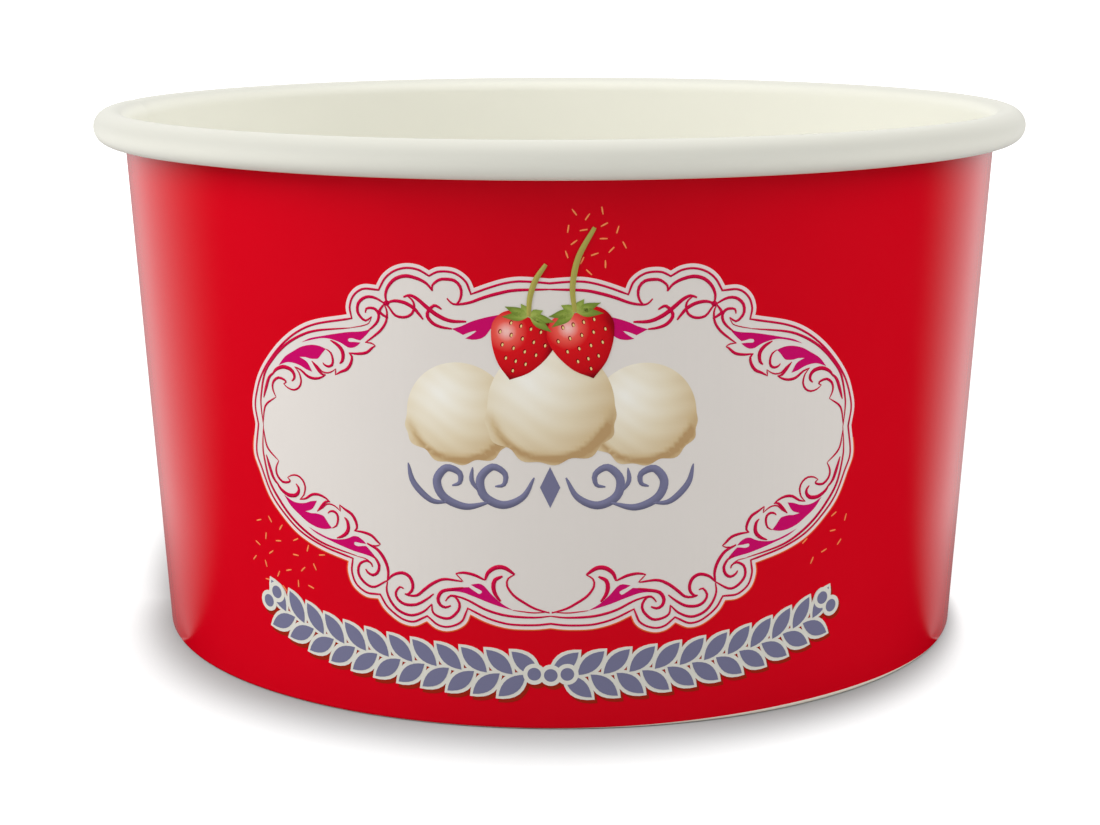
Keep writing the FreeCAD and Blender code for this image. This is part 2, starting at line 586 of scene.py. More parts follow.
# %% Move every point to its place round the axis
weld = 0.0002
angle = named(wrapped, "board_angle")
step = ramp(wrapped, angle, given["Ramp start"], given["Ramp end"])
step = calc(wrapped, "MULTIPLY", step, given["Layer step"])
radius = calc(wrapped, "MULTIPLY_ADD", named(wrapped, "push_r"), step, named(wrapped, "section_r"))
height = calc(wrapped, "MULTIPLY_ADD", named(wrapped, "push_z"), step, named(wrapped, "section_z"))
out_x = calc(wrapped, "MULTIPLY", radius, calc(wrapped, "COSINE", angle))
out_y = calc(wrapped, "MULTIPLY", radius, calc(wrapped, "SINE", angle))
spot = vector(wrapped, out_x, out_y, height)
bent = move(wrapped, swept.outputs[0], spot)
welded = add(wrapped, "GeometryNodeMergeByDistance", {0: bent, "Distance": weld * mm})
print("nodes so far:", len(wrapped.nodes))

# %% Creases and finishes
crease_angle = math.radians(30)
plain_most = 0.2
printed_least = 0.8
smooth = add(wrapped, "GeometryNodeSetShadeSmooth", {0: welded.outputs[0]})
turn = add(wrapped, "GeometryNodeInputMeshEdgeAngle").outputs[0]
crease = calc(wrapped, "GREATER_THAN", turn, crease_angle)
sharp = store(wrapped, smooth.outputs[0], "sharp_edge", crease, "BOOLEAN", "EDGE")
side = named(wrapped, "printed")
past_plain = calc(wrapped, "GREATER_THAN", side, plain_most)
past_cut = calc(wrapped, "GREATER_THAN", side, printed_least)
plain = coat(wrapped, sharp, given["Plain side"])
cut = coat(wrapped, plain, given["Cut edge"], past_plain)
inked = coat(wrapped, cut, given["Printed side"], past_cut)
real = add(wrapped, "GeometryNodeRealizeInstances", {0: inked})
feed(wrapped, wanted["Geometry"], real.outputs[0])
print("wrapped board tree nodes:", len(wrapped.nodes))

# %% Sidewall
inside_edge = seam_angle - lap_width / foot_r
joggle_start = inside_edge - joggle_width / foot_r
wall_columns = 401
ring = len(section)
cup_wall = grow(
    "cup_wall",
    [(r * mm, z * mm, 0) for r, z in section],
    [(i, (i + 1) % ring) for i in range(ring)],
    [],
    wrapped,
    {
        "Start angle": inside_edge,
        "Sweep": seam_angle + math.tau - inside_edge,
        "Columns": wall_columns,
        "Ramp start": joggle_start + math.tau,
        "Ramp end": inside_edge + math.tau,
        "Layer step": (board_t + layer_gap) * mm,
        "Close ends": True,
        "Plain side": bare_board,
        "Printed side": printed_board,
        "Cut edge": cut_board,
    },
    section_data,
)
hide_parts("sidewall")
fit_on_cup(cup_wall)

# %% [markdown]
# ## Base disc
# The base is a plain disc whose edge is bent down into a skirt. The same tree turns its
# section right round the axis, and the weld closes it at the seam and at the middle.

# %% Section of the base disc
disc_steps = 6
base_top = base_height + base_board_t
skirt_foot = board_t + skirt_clear
skirt_in = wall_point(skirt_inner, skirt_foot)
skirt_out = wall_point(skirt_outer, skirt_foot)
edge_in = wall_point(skirt_inner, base_height)
edge_out = wall_point(skirt_outer, base_top)
disc = [(0.0, base_height)] + straight((0, base_height), edge_in, disc_steps)[:-1]
disc += corner((0, base_height), edge_in, skirt_in, base_bend_r - base_board_t)
disc += [skirt_in, skirt_out]
disc += corner(skirt_out, edge_out, (0, base_top), base_bend_r)
disc += straight(edge_out, (0, base_top), disc_steps)[1:] + [(0.0, base_top)]
disc_data = {
    "section_r": [p[0] * mm for p in disc],
    "section_z": [p[1] * mm for p in disc],
    "push_r": [0.0] * len(disc),
    "push_z": [0.0] * len(disc),
    "printed": [0.0] * len(disc),
}
print("section points of the base disc:", len(disc))

# %% Base disc
disc_columns = 241
base = grow(
    "base_board",
    [(r * mm, z * mm, 0) for r, z in disc],
    [(i, i + 1) for i in range(len(disc) - 1)],
    [],
    wrapped,
    {
        "Columns": disc_columns,
        "Plain side": bare_board,
        "Printed side": bare_board,
        "Cut edge": bare_board,
    },
    disc_data,
)
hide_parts("base_disc")
fit_on_cup(base)

# %% [markdown]
# ## Print: drawn flat, bent round the cone
# A cone unrolls into a flat fan without any stretch. The print is drawn on that fan in
# millimetres, x to the right and y up from the middle of the design, and z is how far the
# ink stands off the board. This node group bends it back: the distance from the fan's tip
# gives the height, and the angle at the tip gives the angle round the cup.

# %% Node group that bends the flat print
design_z = 26.2
design_angle = math.radians(-91.1)
fan_tip = (foot_r + design_z * math.tan(taper)) / math.sin(taper)

bend, flat, round_cup = new_tree(
    "bend_round_cone",
    "GeometryNodeTree",
    [
        ("Flat", "Vector", None),
        ("Tip distance", "Float", fan_tip * mm),
        ("Taper", "Float", taper),
        ("Middle angle", "Float", design_angle),
        ("Middle height", "Float", design_z * mm),
    ],
    [("Position", "Vector")],
)
across, along, off = parts_of(bend, flat["Flat"])
reach = calc(bend, "ADD", along, flat["Tip distance"])
swing = calc(bend, "ARCTAN2", across, reach)
slant = length_of(bend, across, reach)
lean = calc(bend, "SINE", flat["Taper"])
angle = calc(bend, "ADD", calc(bend, "DIVIDE", swing, lean), flat["Middle angle"])
radius = calc(bend, "MULTIPLY_ADD", slant, lean, off)
climb = calc(bend, "SUBTRACT", slant, flat["Tip distance"])
rise = calc(bend, "MULTIPLY", climb, calc(bend, "COSINE", flat["Taper"]))
out_x = calc(bend, "MULTIPLY", radius, calc(bend, "COSINE", angle))
out_y = calc(bend, "MULTIPLY", radius, calc(bend, "SINE", angle))
out_z = calc(bend, "ADD", rise, flat["Middle height"])
feed(bend, round_cup["Position"], vector(bend, out_x, out_y, out_z))


def bend_on(tree, geometry):
    """Adds the steps that bend flat geometry round the cup."""
    spot = add(tree, "GeometryNodeGroup", {0: position(tree)}, node_tree=bend)
    return move(tree, geometry, spot.outputs[0])


print("fan tip", round(fan_tip, 1), "mm below the design")

# %% Tree for a field of ink
field_tree, given, wanted = new_tree(
    "ink_field",
    "GeometryNodeTree",
    [("Geometry", "Geometry", None), ("Ink", "Material", None)],
    [("Geometry", "Geometry")],
)
bent = bend_on(field_tree, given["Geometry"])
real = add(field_tree, "GeometryNodeRealizeInstances", {0: bent})
feed(field_tree, wanted["Geometry"], coat(field_tree, real.outputs[0], given["Ink"]))
print("ink field nodes:", len(field_tree.nodes))

# %% Tree for pen strokes
pen_tree, given, wanted = new_tree(
    "pen_stroke",
    "GeometryNodeTree",
    [
        ("Geometry", "Geometry", None),
        ("Ink top", "Float", 0.06 * mm),
        ("Ink foot", "Float", 0.02 * mm),
        ("Ink", "Material", None),
    ],
    [("Geometry", "Geometry")],
)
lines = add(pen_tree, "GeometryNodeMeshToCurve", {0: given["Geometry"]})
upright = add(pen_tree, "GeometryNodeSetCurveNormal", {0: lines.outputs[0]}, mode="Z_UP")
nib = add(pen_tree, "GeometryNodeCurvePrimitiveQuadrilateral", {"Width": 1.0, "Height": 1.0})
width = named(pen_tree, "pen")
drawn = {0: upright.outputs[0], 1: nib.outputs[0], "Scale": width, "Fill Caps": True}
ribbon = add(pen_tree, "GeometryNodeCurveToMesh", drawn)
line_x, line_y, level = parts_of(pen_tree, position(pen_tree))
is_top = calc(pen_tree, "GREATER_THAN", level, 0.0)
film = choose(pen_tree, is_top, given["Ink foot"], given["Ink top"])
thin = move(pen_tree, ribbon.outputs[0], vector(pen_tree, line_x, line_y, film))
real = add(pen_tree, "GeometryNodeRealizeInstances", {0: bend_on(pen_tree, thin)})
feed(pen_tree, wanted["Geometry"], coat(pen_tree, real.outputs[0], given["Ink"]))
print("pen tree nodes:", len(pen_tree.nodes))


# %% [markdown]
# ## Drawing helpers
# A designer places a few points and lets a smooth line run through them. A shape is made
# of such runs, and it has a corner wherever one run ends and the next begins.

# %% Smooth lines and shapes
def through(points, pitch=0.3):
    """A smooth line through a few points, as close points."""
    knots = [Vector(p) for p in points]
    knots = [2 * knots[0] - knots[1]] + knots + [2 * knots[-1] - knots[-2]]
    line = []
    for a, b, c, d in zip(knots, knots[1:], knots[2:], knots[3:]):
        steps = max(2, round((c - b).length / pitch))
        for i in range(steps):
            t = i / steps
            bow = (2 * a - 5 * b + 4 * c - d) * t * t + (3 * b - a - 3 * c + d) * t * t * t
            line.append((2 * b + (c - a) * t + bow) / 2)
    return line + [knots[-2]]


def shape(*runs):
    """A closed outline made of smooth runs, with a corner between runs."""
    outline = []
    for run in runs:
        outline += through(run)[:-1]
    return outline


def mirrored(points, across, upward):
    """The same points mirrored or scaled about the middle of the design."""
    return [Vector((p[0] * across, p[1] * upward)) for p in points]


def inset(outline, distance, sharpest=0.45):
    """The closed outline moved inwards, with its corners kept sharp."""
    moved = []
    for i, here in enumerate(outline):
        back = (here - outline[i - 1]).normalized()
        ahead = (outline[(i + 1) % len(outline)] - here).normalized()
        inward = Vector((-back.y - ahead.y, back.x + ahead.x)).normalized()
        reach = distance / max(sharpest, inward.dot(Vector((-back.y, back.x))))
        moved.append(here + inward * reach)
    return moved


print("helpers: through, shape, mirrored, inset")

# %% [markdown]
# Each layer of ink stands a little above the one that it covers, as it does on a printed
# label, so that no two layers lie in one place. The heights are kept together here, from
# the lowest layer to the highest. A lift is the step up where like pieces overlap.

# %% Heights of the layers of ink off the board, in millimetres
ink_foot = -0.02
spark_top = 0.024
ember_top = 0.026
shadow_top = 0.030
border_top = 0.030
panel_top = 0.045
scoop_top = 0.052
scoop_lift = 0.010
leaf_edge_top = 0.055
frame_leaf_top = 0.058
contour_top = 0.062
slate_top = 0.062
scroll_top = 0.066
garland_top = 0.075
bud_edge_top = 0.078
bud_top = 0.082
berry_top = 0.086
berry_lift = 0.014
pit_lift = 0.003
seed_lift = 0.005
cap_top = 0.108
stalk_top = 0.110
pen_film = 0.04
print("layers of ink from", spark_top, "to", stalk_top, "mm")


# %% Fields of ink
def filled(outline, pitch):
    """Spots and triangles that fill an outline, with a square net of spots inside it."""
    columns, rows = [range(math.ceil(min(side) / pitch), math.floor(max(side) / pitch) + 1)
                     for side in zip(*outline)]
    net = [Vector((x * pitch, y * pitch)) for x in columns for y in rows]
    count = len(outline)
    rim = [(i, (i + 1) % count) for i in range(count)]
    found = delaunay_2d_cdt([Vector(p) for p in outline] + net, rim, [], 1, 1e-5)
    return found[0], [tuple(t) for t in found[2]]


def ink_field(name, outlines, top, ink, net_pitch=1.1, shades=None):
    """Closed shapes filled with ink, with a fine net of points so that they bend well."""
    points, faces, blends = [], [], []
    for place, outline in enumerate(outlines):
        spots, triangles = filled(outline, net_pitch)
        used = sorted({v for t in triangles for v in t})
        number = {v: len(points) + i for i, v in enumerate(used)}
        points += [(spots[v].x * mm, spots[v].y * mm, top * mm) for v in used]
        faces += [tuple(number[v] for v in t) for t in triangles]
        sides = {(a, b) for t in triangles for a, b in zip(t, t[1:] + t[:1])}
        edge = [(a, b) for a, b in sorted(sides) if (b, a) not in sides]
        lower = {}
        for v in sorted({v for pair in edge for v in pair}):
            lower[v] = len(points)
            points.append((spots[v].x * mm, spots[v].y * mm, ink_foot * mm))
        faces += [(number[a], lower[a], lower[b], number[b]) for a, b in edge]
        if shades:
            blends += [shades[place](spots[v]) for v in used + list(lower)]
    written = {"shade": blends} if shades else None
    return fit_on_cup(grow(name, points, [], faces, field_tree, {"Ink": ink}, written))


print("helpers: filled, ink_field")


# %% Pen strokes
def pen_strokes(name, strokes, top, ink):
    """Lines drawn with a pen, each a list of points and a list of widths."""
    points, edges, widths = [], [], []
    for line, pen in strokes:
        first = len(points)
        points += [(p[0] * mm, p[1] * mm, 0) for p in line]
        edges += [(first + i, first + i + 1) for i in range(len(line) - 1)]
        widths += [w * mm for w in pen]
    values = {"Ink": ink, "Ink top": top * mm, "Ink foot": (top - pen_film) * mm}
    return fit_on_cup(grow(name, points, edges, [], pen_tree, values, {"pen": widths}))


def swelling(points, width, ends=0.25):
    """A smooth stroke that is thin at its ends and full in the middle."""
    line = through(points)
    last = len(line) - 1
    shares = [max(0.0, math.sin(math.pi * i / last)) ** 0.7 for i in range(last + 1)]
    return line, [width * (ends + (1 - ends) * share) for share in shares]


def even(line, width):
    """A stroke of one width that comes back to its own beginning."""
    closed = list(line) + [line[0], line[1]]
    return closed, [width] * len(closed)


print("helpers: pen_strokes, swelling, even")

# %% [markdown]
# ## The cartouche
# The pale field on the front is a scroll cartouche, a frame used on labels for centuries.
# Its left half mirrors its right half, and its foot differs a little from its top, so two
# quarters are drawn. A side sweeps up to three round lobes, and a shallow arch joins the
# lobes over the middle. The outline is filled pale, a fine crimson line follows it inside,
# and a hair of orange glows along its lower edge.

# %% Outline of the cartouche
upper_runs = [
    [(29.8, 0.0), (30.1, 1.7), (29.8, 3.2), (29.1, 4.9), (27.9, 6.6), (26.2, 8.4), (24.2, 9.9),
     (22.0, 10.9), (18.6, 11.7)],
    [(18.6, 11.7), (18.7, 12.4), (18.4, 13.4), (17.7, 14.2), (16.8, 14.6), (15.6, 14.6)],
    [(15.6, 14.6), (15.1, 15.45), (14.35, 16.15), (13.4, 16.6), (12.4, 16.75), (11.4, 16.6),
     (10.6, 16.2)],
    [(10.6, 16.2), (10.0, 16.5), (9.2, 16.6), (8.3, 16.5), (7.5, 16.1), (6.9, 15.5), (6.6, 14.8)],
    [(6.6, 14.8), (5.3, 15.3), (4.0, 15.7), (2.7, 15.9), (1.2, 15.85), (0.0, 15.75)],
]
lower_runs = [
    [(29.8, 0.0), (30.2, -2.7), (29.5, -4.5), (28.4, -6.7), (26.9, -8.3), (24.9, -9.8),
     (22.4, -10.8), (19.2, -11.5)],
    [(19.2, -11.5), (19.3, -12.4), (19.0, -13.5), (18.4, -14.2), (17.4, -14.7), (16.2, -14.7)],
    [(16.2, -14.7), (15.7, -15.5), (14.9, -16.2), (13.8, -16.8), (12.6, -16.9), (11.4, -16.3)],
    [(11.4, -16.3), (10.6, -16.9), (9.6, -17.1), (8.5, -16.8), (7.7, -16.2), (7.3, -15.3)],
    [(7.3, -15.3), (6.0, -15.9), (4.7, -16.3), (3.4, -16.5), (1.4, -16.5), (0.0, -16.35)],
]
upper_line = shape(*upper_runs) + [Vector(upper_runs[-1][-1])]
lower_line = shape(*lower_runs) + [Vector(lower_runs[-1][-1])]
frame_line = upper_line[:-1] + mirrored(upper_line, -1, 1)[:0:-1]
frame_line += mirrored(lower_line, -1, 1)[:-1] + lower_line[:0:-1]
print("cartouche outline points:", len(frame_line))

# %% Fill and contour lines
border_width = 0.38
contour_depth = 0.42
contour_width = 0.2
ember_width = 0.17
ember_outside = 0.04
ember_below = -1.0

ink_field("cartouche_border", [frame_line], border_top, border_ink)
ink_field("cartouche_panel", [inset(frame_line, border_width)], panel_top, pale_ink)
contour = even(inset(frame_line, contour_depth), contour_width)
pen_strokes("cartouche_contour", [contour], contour_top, crimson_ink)
ember = [p for p in inset(frame_line, -ember_outside) if p.y < ember_below]
pen_strokes("cartouche_ember", [(ember, [ember_width] * len(ember))], ember_top, orange_ink)

# %% [markdown]
# ## Scrolls and leaves of the frame
# Inside the outline run pen strokes that swell and thin out, as a ruling pen draws them:
# the long line of the side, the hooks in the lobes, the ties between them and the curled
# edges of the leaves. Magenta fields fill the leaves.

# %% [markdown]
# Every stroke is its width in millimetres and the points that the pen runs through, drawn
# for the right half. The strokes of the sides serve above and below the middle.

# %% Pen strokes of the sides
side_strokes = [
    (0.27, [(28.7, 0.0), (28.9, 1.8), (28.8, 3.0), (28.2, 5.1), (27.0, 6.7), (25.5, 8.1),
            (23.7, 9.2), (21.8, 9.9), (18.3, 10.5)]),
    (0.25, [(20.9, 8.3), (20.4, 8.0), (20.2, 7.4), (20.3, 6.9), (20.7, 6.7), (21.1, 6.8),
            (21.3, 7.0)]),
    (0.38, [(20.4, 9.15), (19.8, 8.9), (19.3, 8.5), (19.1, 8.0), (19.2, 7.4), (19.5, 7.1)]),
    (0.20, [(28.7, 0.3), (28.5, 1.5), (28.1, 2.2), (26.9, 3.0)]),
    (0.25, [(26.9, 3.0), (27.2, 3.5), (27.3, 4.0), (27.1, 4.5), (26.5, 4.9), (25.8, 4.8),
            (25.6, 4.6), (25.9, 4.4)]),
    (0.20, [(25.9, 4.4), (25.4, 4.1), (24.7, 4.0), (24.1, 4.3), (23.8, 4.9), (24.0, 5.7),
            (24.5, 6.2)]),
    (0.27, [(24.5, 6.2), (23.8, 6.0), (23.0, 5.5), (22.2, 5.4), (21.5, 5.6), (21.0, 5.9)]),
    (0.27, [(21.0, 5.9), (21.5, 5.95), (22.5, 7.0)]),
    (0.15, [(22.5, 7.0), (21.9, 6.6), (21.4, 6.15), (20.8, 6.1), (20.3, 6.3), (19.9, 6.6)]),
    (0.14, [(19.9, 6.6), (20.0, 6.0)]),
    (0.30, [(20.0, 6.0), (19.4, 6.35), (18.7, 6.7), (18.3, 7.3), (18.2, 7.9), (18.5, 8.2)]),
    (0.27, [(18.5, 8.2), (17.6, 8.2), (16.7, 8.4), (16.1, 8.9), (15.8, 9.1)]),
    (0.14, [(15.8, 9.1), (16.2, 9.3), (16.8, 9.3)]),
    (0.38, [(27.3, 5.0), (26.8, 5.6), (25.9, 6.0), (25.0, 5.9), (24.6, 5.5), (24.6, 5.1),
            (24.9, 4.8)]),
    (0.34, [(27.1, 5.3), (27.7, 4.7), (28.1, 3.8), (28.5, 2.7)]),
]
print("strokes of the sides:", len(side_strokes))

# %% Pen strokes over the top
top_strokes = [
    (0.10, [(18.3, 10.5), (17.1, 10.8), (16.4, 11.1), (16.1, 11.7)]),
    (0.24, [(16.8, 9.3), (16.0, 9.9), (15.2, 10.6), (14.7, 11.4), (14.6, 12.3), (14.8, 12.8)]),
    (0.27, [(16.7, 12.0), (16.6, 12.4), (16.1, 12.5), (15.7, 12.4), (15.4, 12.0), (15.5, 11.4),
            (15.9, 10.9), (16.5, 10.4)]),
    (0.29, [(16.1, 11.7), (16.7, 11.3), (17.2, 11.6), (17.5, 12.1), (17.4, 12.8), (16.9, 13.3),
            (16.3, 13.5), (15.6, 13.4), (14.8, 13.0)]),
    (0.27, [(14.8, 13.0), (15.2, 12.5), (15.3, 12.2), (14.9, 11.9), (14.5, 11.7)]),
    (0.25, [(12.6, 13.8), (12.2, 13.5), (12.0, 13.0), (12.2, 12.3), (12.9, 11.9), (13.8, 12.0),
            (14.4, 12.7), (14.7, 13.0)]),
    (0.33, [(14.6, 13.0), (14.7, 13.8), (14.4, 14.6), (13.7, 15.3), (12.7, 15.6), (11.6, 15.4),
            (10.8, 15.0), (10.3, 14.4)]),
    (0.29, [(10.3, 14.4), (10.3, 14.9), (9.7, 15.4), (9.1, 15.5), (8.3, 15.4), (7.8, 14.9),
            (7.7, 14.2), (7.9, 13.6), (8.2, 13.3)]),
    (0.29, [(9.0, 13.8), (8.6, 13.4), (8.1, 13.3), (7.0, 13.5), (5.7, 14.0), (4.4, 14.4),
            (2.9, 14.7), (0.0, 14.8)]),
    (0.50, [(14.35, 13.1), (14.6, 13.05), (14.95, 12.95)]),
    (0.33, [(14.7, 13.0), (13.9, 13.3), (12.9, 13.2), (12.1, 12.8), (11.7, 12.4), (11.2, 11.8)]),
    (0.38, [(13.0, 13.7), (12.4, 13.9), (11.7, 13.6), (10.7, 12.8), (9.8, 12.2), (8.7, 11.8),
            (7.3, 11.8)]),
    (0.32, [(9.5, 12.8), (9.8, 13.0), (10.2, 13.1), (10.7, 12.6), (10.8, 12.1), (10.3, 11.5),
            (9.5, 11.2), (8.6, 11.1)]),
]
print("strokes over the top:", len(top_strokes))

# %% Pen strokes along the foot
foot_strokes = [
    (0.10, [(18.3, -10.9), (17.4, -11.0), (16.9, -11.3), (16.7, -11.7)]),
    (0.27, [(16.7, -11.7), (16.8, -11.4), (17.3, -11.2), (18.0, -11.6), (18.2, -12.3),
            (18.0, -12.9), (17.3, -13.5), (16.5, -13.6), (15.2, -12.8)]),
    (0.32, [(17.2, -9.5), (16.1, -10.0), (15.4, -10.9), (15.1, -11.9), (15.2, -12.8)]),
    (0.29, [(17.4, -12.0), (17.2, -12.3), (16.7, -12.5), (16.2, -12.2), (16.0, -11.5),
            (16.4, -10.8), (17.0, -10.5)]),
    (0.33, [(15.2, -12.8), (14.6, -12.2), (13.7, -11.9), (13.0, -12.2), (12.7, -12.9),
            (12.8, -13.5), (13.2, -13.9), (13.5, -13.9)]),
    (0.27, [(15.2, -12.9), (15.3, -13.8), (14.9, -14.8), (14.1, -15.6), (12.9, -15.9),
            (11.7, -15.4), (10.9, -14.6)]),
    (0.29, [(13.6, -13.4), (14.0, -13.3), (14.4, -13.9), (14.2, -14.5), (13.5, -14.9),
            (12.4, -14.8), (11.4, -14.2), (10.7, -13.6)]),
    (0.30, [(13.5, -13.9), (13.1, -14.0), (12.3, -13.9), (11.5, -13.2), (10.6, -12.5),
            (9.6, -12.1), (8.0, -12.2)]),
    (0.27, [(10.9, -14.6), (10.8, -15.4), (10.1, -15.8), (9.2, -15.8), (8.4, -15.0), (8.3, -14.3),
            (8.7, -13.7), (9.2, -13.7), (9.6, -14.2)]),
    (0.34, [(9.1, -14.6), (9.6, -14.8), (10.1, -14.6), (10.3, -14.0), (9.9, -13.3), (8.9, -13.0),
            (7.9, -12.8)]),
    (0.12, [(7.9, -12.2), (8.6, -11.5)]),
    (0.28, [(8.6, -11.5), (7.9, -11.35), (6.9, -11.5), (5.9, -11.95)]),
    (0.42, [(5.9, -11.95), (5.6, -11.2), (4.9, -10.7), (4.1, -10.7), (3.2, -11.3)]),
    (0.24, [(3.2, -11.3), (3.8, -11.7), (3.9, -12.4), (3.3, -13.3), (2.3, -14.0), (1.4, -14.5),
            (0.1, -14.9)]),
    (0.40, [(4.3, -11.5), (5.0, -11.9), (5.15, -12.6), (4.95, -13.3), (4.5, -13.9)]),
    (0.12, [(3.4, -14.7), (2.6, -14.8), (1.5, -14.9), (0.1, -14.8)]),
    (0.24, [(9.5, -14.0), (9.1, -13.6), (8.3, -13.7), (7.4, -14.0), (6.0, -14.7), (4.7, -15.1),
            (3.4, -15.3), (1.4, -15.35), (0.0, -15.2)]),
]
print("strokes along the foot:", len(foot_strokes))

# %% All strokes, mirrored
lower = 1.035
blunt = 0.42
lines = []
for across in (1, -1):
    for width, points in top_strokes + foot_strokes:
        lines.append(swelling(mirrored(points, across, 1), width, blunt))
    for upward in (1, -lower):
        for width, points in side_strokes:
            lines.append(swelling(mirrored(points, across, upward), width))
pen_strokes("cartouche_scrolls", lines, scroll_top, crimson_ink)
print("pen strokes:", len(lines))

# %% Outlines of the leaves
long_leaf = shape(
    [(23.6, 8.6), (22.6, 9.1), (21.3, 9.45), (19.9, 9.8), (18.5, 10.1), (17.1, 10.3), (16.2, 10.6)],
    [(16.2, 10.6), (16.5, 10.2), (17.0, 9.7), (17.3, 9.45)],
    [(17.3, 9.45), (17.7, 9.5), (18.1, 9.58), (18.45, 9.52), (18.55, 9.36), (18.4, 9.22),
     (17.9, 9.26), (17.3, 9.25)],
    [(17.3, 9.25), (17.6, 8.95), (18.1, 8.7), (18.6, 8.7), (19.0, 8.9), (19.5, 9.1), (20.2, 9.25)],
    [(20.2, 9.25), (20.8, 9.3), (21.5, 9.22), (22.5, 8.95), (23.6, 8.6)],
)
broad_leaf = shape(
    [(26.4, 6.1), (25.6, 7.0), (24.5, 7.7), (23.6, 8.2), (22.5, 8.5), (21.6, 8.5), (20.9, 8.3)],
    [(20.9, 8.3), (21.3, 7.9), (21.7, 7.4), (22.0, 7.25), (22.7, 7.2), (23.2, 7.27), (23.9, 7.2)],
    [(23.9, 7.2), (23.2, 6.95), (22.85, 6.6), (22.5, 6.0)],
    [(22.5, 6.0), (23.2, 6.15), (23.8, 6.4), (24.6, 6.55), (25.4, 6.5), (26.4, 6.1)],
)
arch_leaf = shape(
    [(8.6, 11.1), (7.7, 11.4), (6.9, 11.8), (5.7, 12.2), (4.4, 12.5)],
    [(4.4, 12.5), (4.8, 11.7), (5.3, 11.0)],
    [(5.3, 11.0), (5.6, 10.6), (6.1, 10.3), (6.8, 10.2), (7.4, 10.3)],
    [(7.4, 10.3), (6.9, 10.6), (6.4, 11.0), (6.9, 10.9), (7.6, 10.6)],
    [(7.6, 10.6), (8.2, 10.9), (8.6, 11.1)],
)
foot_leaf = shape(
    [(10.0, -13.3), (8.7, -12.85), (7.4, -12.7)],
    [(7.4, -12.7), (6.8, -13.1), (6.4, -13.3), (6.2, -13.0), (6.8, -12.7), (7.2, -12.45)],
    [(7.2, -12.45), (6.5, -12.3), (6.0, -12.5), (5.3, -13.3), (4.4, -14.1), (3.4, -14.7)],
    [(3.4, -14.7), (4.2, -14.5), (5.5, -14.1), (7.0, -13.55), (8.3, -13.2), (10.0, -13.3)],
)
print("points round a long leaf:", len(long_leaf))


# %% Leaf fields
def turned_round(outline, across, upward):
    """A mirrored outline that still runs the same way round."""
    copy = mirrored(outline, across, upward)
    return copy if across * upward > 0 else copy[::-1]


leaves = [turned_round(leaf, across, upward)
          for leaf in (long_leaf, broad_leaf) for across in (1, -1) for upward in (1, -lower)]
leaves += [turned_round(leaf, across, 1) for leaf in (arch_leaf, foot_leaf) for across in (1, -1)]
ink_field("cartouche_leaves", leaves, frame_leaf_top, leaf_ink)

# %% [markdown]
# ## Picture on the label
# The middle of the label gets a plain picture of its own: three scoops of cream ice with
# two strawberries on them. Each thing is one field of ink whose tone runs smoothly, as an
# airbrush lays it. A formula gives every point its shade, and the ink turns that into a
# colour. So a scoop gets its round form, its drag lines and its ruffle without any image.

# %% Ovals and smooth steps
def ring_of(centre, radius_x, radius_y, lean=0.0, steps=28):
    """An oval outline, leaning by an angle."""
    outline = []
    for i in range(steps):
        a = math.tau * i / steps
        x, y = radius_x * math.cos(a), radius_y * math.sin(a)
        c, s = math.cos(lean), math.sin(lean)
        outline.append(Vector((centre[0] + x * c - y * s, centre[1] + x * s + y * c)))
    return outline


def eased(value):
    """A smooth step from 0 to 1."""
    share = min(1.0, max(0.0, value))
    return share * share * (3 - 2 * share)


print("helpers: ring_of, eased")


# %% Shape and tone of a scoop
def scoop_line(centre, size, count=120):
    """A ball of ice with a ruffled lower edge, where the scoop let go of it."""
    outline = []
    for i in range(count):
        a = math.tau * i / count
        low = eased(-1.7 * math.sin(a) + 0.1)
        ruffle = 0.12 + 0.04 * math.cos(13 * a + 0.7) + 0.025 * math.cos(7 * a)
        reach = size * (1 + low * ruffle)
        squat = 1 - 0.17 * low
        here = (centre[0] + reach * math.cos(a), centre[1] + reach * math.sin(a) * squat)
        outline.append(Vector(here))
    return outline


def scoop_shade(centre, size):
    """Tone of a scoop: pale to the upper left, with drag lines and a crease at the ruffle."""
    def shade(spot):
        x, y = (spot[0] - centre[0]) / size, (spot[1] - centre[1]) / size
        away = math.hypot(x + 0.34, y - 0.42)
        out = math.hypot(x, 1.12 * y)
        crease = math.exp(-((out - 0.96) / 0.07) ** 2) * eased(-2.2 * y)
        drag = 0.035 * math.sin(17 * y + 5 * x + 3 * math.sin(3 * x + 1.2))
        lobe = 0.10 * eased(4 * (out - 1.0))
        return 0.56 * away + 0.40 * crease + drag - lobe
    return shade


print("helpers: scoop_line, scoop_shade")

# %% Scoops
scoops = [("left", (-8.1, 3.3), 4.8), ("right", (8.3, 3.3), 4.8), ("middle", (0.1, 4.3), 5.6)]
scoop_net = 0.42
cream_ink = airbrushed("cream_ink", [
    (0.0, colour(253, 250, 240)),
    (0.22, colour(247, 240, 222)),
    (0.50, colour(234, 220, 190)),
    (0.78, colour(216, 192, 150)),
    (1.0, colour(190, 156, 110)),
])
for number, (side, centre, size) in enumerate(scoops):
    top = scoop_top + scoop_lift * number
    shade = scoop_shade(centre, size)
    ink_field(side + "_scoop", [scoop_line(centre, size)], top, cream_ink, scoop_net, [shade])

